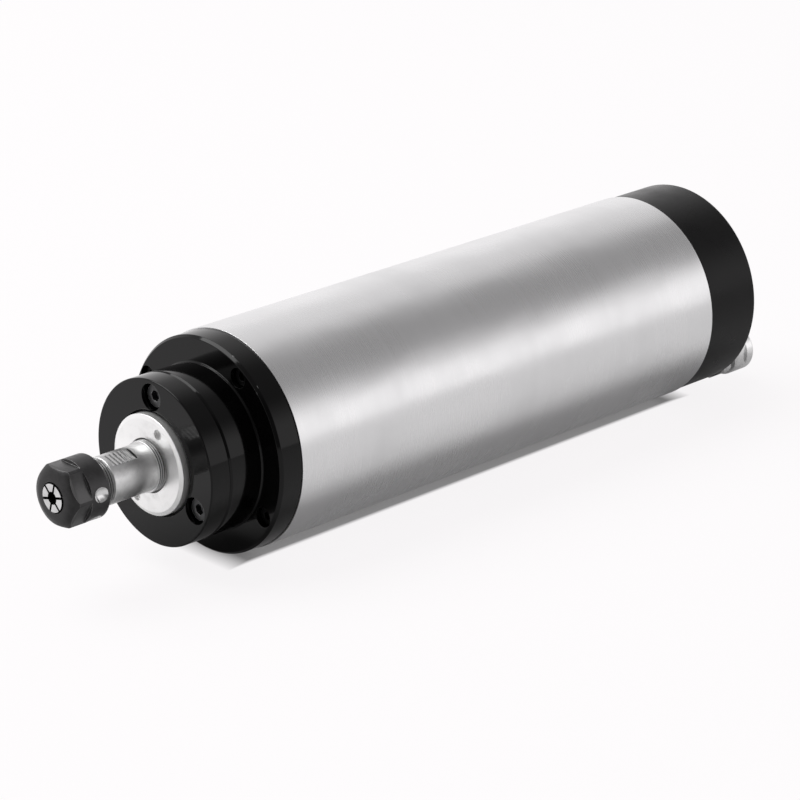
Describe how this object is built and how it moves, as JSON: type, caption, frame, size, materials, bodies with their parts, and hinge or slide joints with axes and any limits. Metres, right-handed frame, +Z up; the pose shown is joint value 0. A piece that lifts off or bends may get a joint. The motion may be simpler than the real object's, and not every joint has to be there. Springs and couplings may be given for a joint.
{
  "type": "motor spindle",
  "caption": "Round liquid-cooled motor spindle with a slotted collet and clamping nut on a ground shaft, black end bells and a clamp-mounted steel body.",
  "frame": {"origin": "on the spindle axis, at the face where the front flange meets the body tube", "axes": "+Y along the spindle axis from the nose to the tail, +Z up, away from the two hose unions; the nose points to -Y"},
  "size_m": [0.065, 0.2719, 0.065],
  "materials": {
    "ground_stainless": "ground, satin",
    "black_anodised": "black anodised, satin gloss",
    "turned_steel": "bright turned",
    "ground_steel": "fine ground",
    "black_oxide": "black oxide, semi-gloss",
    "black_screw": "black oxide screw",
    "spring_steel": "bright hardened",
    "bearing_steel": "polished",
    "cage_resin": "matte",
    "jacket_aluminium": "machined",
    "lamination": "stacked sheets",
    "copper_winding": "varnished copper",
    "cage_casting": "cast",
    "seal_rubber": "matte",
    "plated_brass": "satin nickel plate",
    "insulator": "matte",
    "contact_gold": "gold plate",
    "lead_insulation": "smooth"
  },
  "bodies": {
    "housing": {"outer_tube": "ground_stainless", "water_jacket": "jacket_aluminium", "jacket_seals": "seal_rubber", "stator_core": "lamination", "stator_windings": "copper_winding", "front_flange": "black_anodised", "flange_screws": "black_screw", "front_cover": "black_anodised", "cover_screws": "black_screw", "outer_spacer": "bearing_steel", "front_bearing_outer_rings": "bearing_steel", "rear_bearing_outer_ring": "bearing_steel", "preload_spring": "spring_steel", "rear_housing": "jacket_aluminium", "port_seals": "seal_rubber", "rear_cap": "black_anodised", "rear_cap_screws": "black_screw", "power_socket_shell": "plated_brass", "power_socket_insert": "insulator", "power_socket_pins": "contact_gold", "power_socket_nut": "plated_brass", "winding_leads": "lead_insulation", "water_nozzles": "plated_brass", "nozzle_seals": "seal_rubber", "nozzle_nuts": "plated_brass"},
    "rotor": {"shaft": "ground_steel", "rotor_core": "lamination", "rotor_cage": "cage_casting", "shaft_lock_nut": "turned_steel", "inner_spacer": "bearing_steel", "front_bearing_inner_rings": "bearing_steel", "rear_bearing_inner_ring": "bearing_steel", "rear_circlip": "spring_steel"},
    "front_ball_set_1": {"front_bearing_1_balls": "bearing_steel", "front_bearing_1_cage": "cage_resin"},
    "front_ball_set_2": {"front_bearing_2_balls": "bearing_steel", "front_bearing_2_cage": "cage_resin"},
    "rear_ball_set": {"rear_bearing_balls": "bearing_steel", "rear_bearing_cage": "cage_resin"},
    "spring_collet": {"collet": "spring_steel"},
    "clamping_nut": {"collet_nut": "black_oxide"}
  },
  "joints": [
    {"name": "rotor_spin", "type": "hinge", "parent": "housing", "child": "rotor", "pos_m": [0, 0, 0], "axis": [0, -1, 0], "continuous": true},
    {"name": "front_ball_set_1_spin", "type": "hinge", "parent": "housing", "child": "front_ball_set_1", "pos_m": [0, -0.0141, 0], "axis": [0, -1, 0], "continuous": true},
    {"name": "front_ball_set_2_spin", "type": "hinge", "parent": "housing", "child": "front_ball_set_2", "pos_m": [0, 0.0039, 0], "axis": [0, -1, 0], "continuous": true},
    {"name": "rear_ball_set_spin", "type": "hinge", "parent": "housing", "child": "rear_ball_set", "pos_m": [0, 0.162, 0], "axis": [0, -1, 0], "continuous": true},
    {"name": "collet_travel", "type": "slide", "parent": "rotor", "child": "spring_collet", "axis": [0, -1, 0], "range_m": [0, 0.00601]},
    {"name": "nut_turn", "type": "hinge", "parent": "spring_collet", "child": "clamping_nut", "pos_m": [0, -0.056, 0], "axis": [0, -1, 0], "range_deg": [0, 2880]}
  ],
  "couplings": [
    {"joint": "front_ball_set_1_spin", "follows": "rotor_spin", "ratio": 0.3987},
    {"joint": "front_ball_set_2_spin", "follows": "rotor_spin", "ratio": 0.3987},
    {"joint": "rear_ball_set_spin", "follows": "rotor_spin", "ratio": 0.381},
    {"joint": "collet_travel", "follows": "nut_turn", "m_per_rad": 0.00011937}
  ]
}
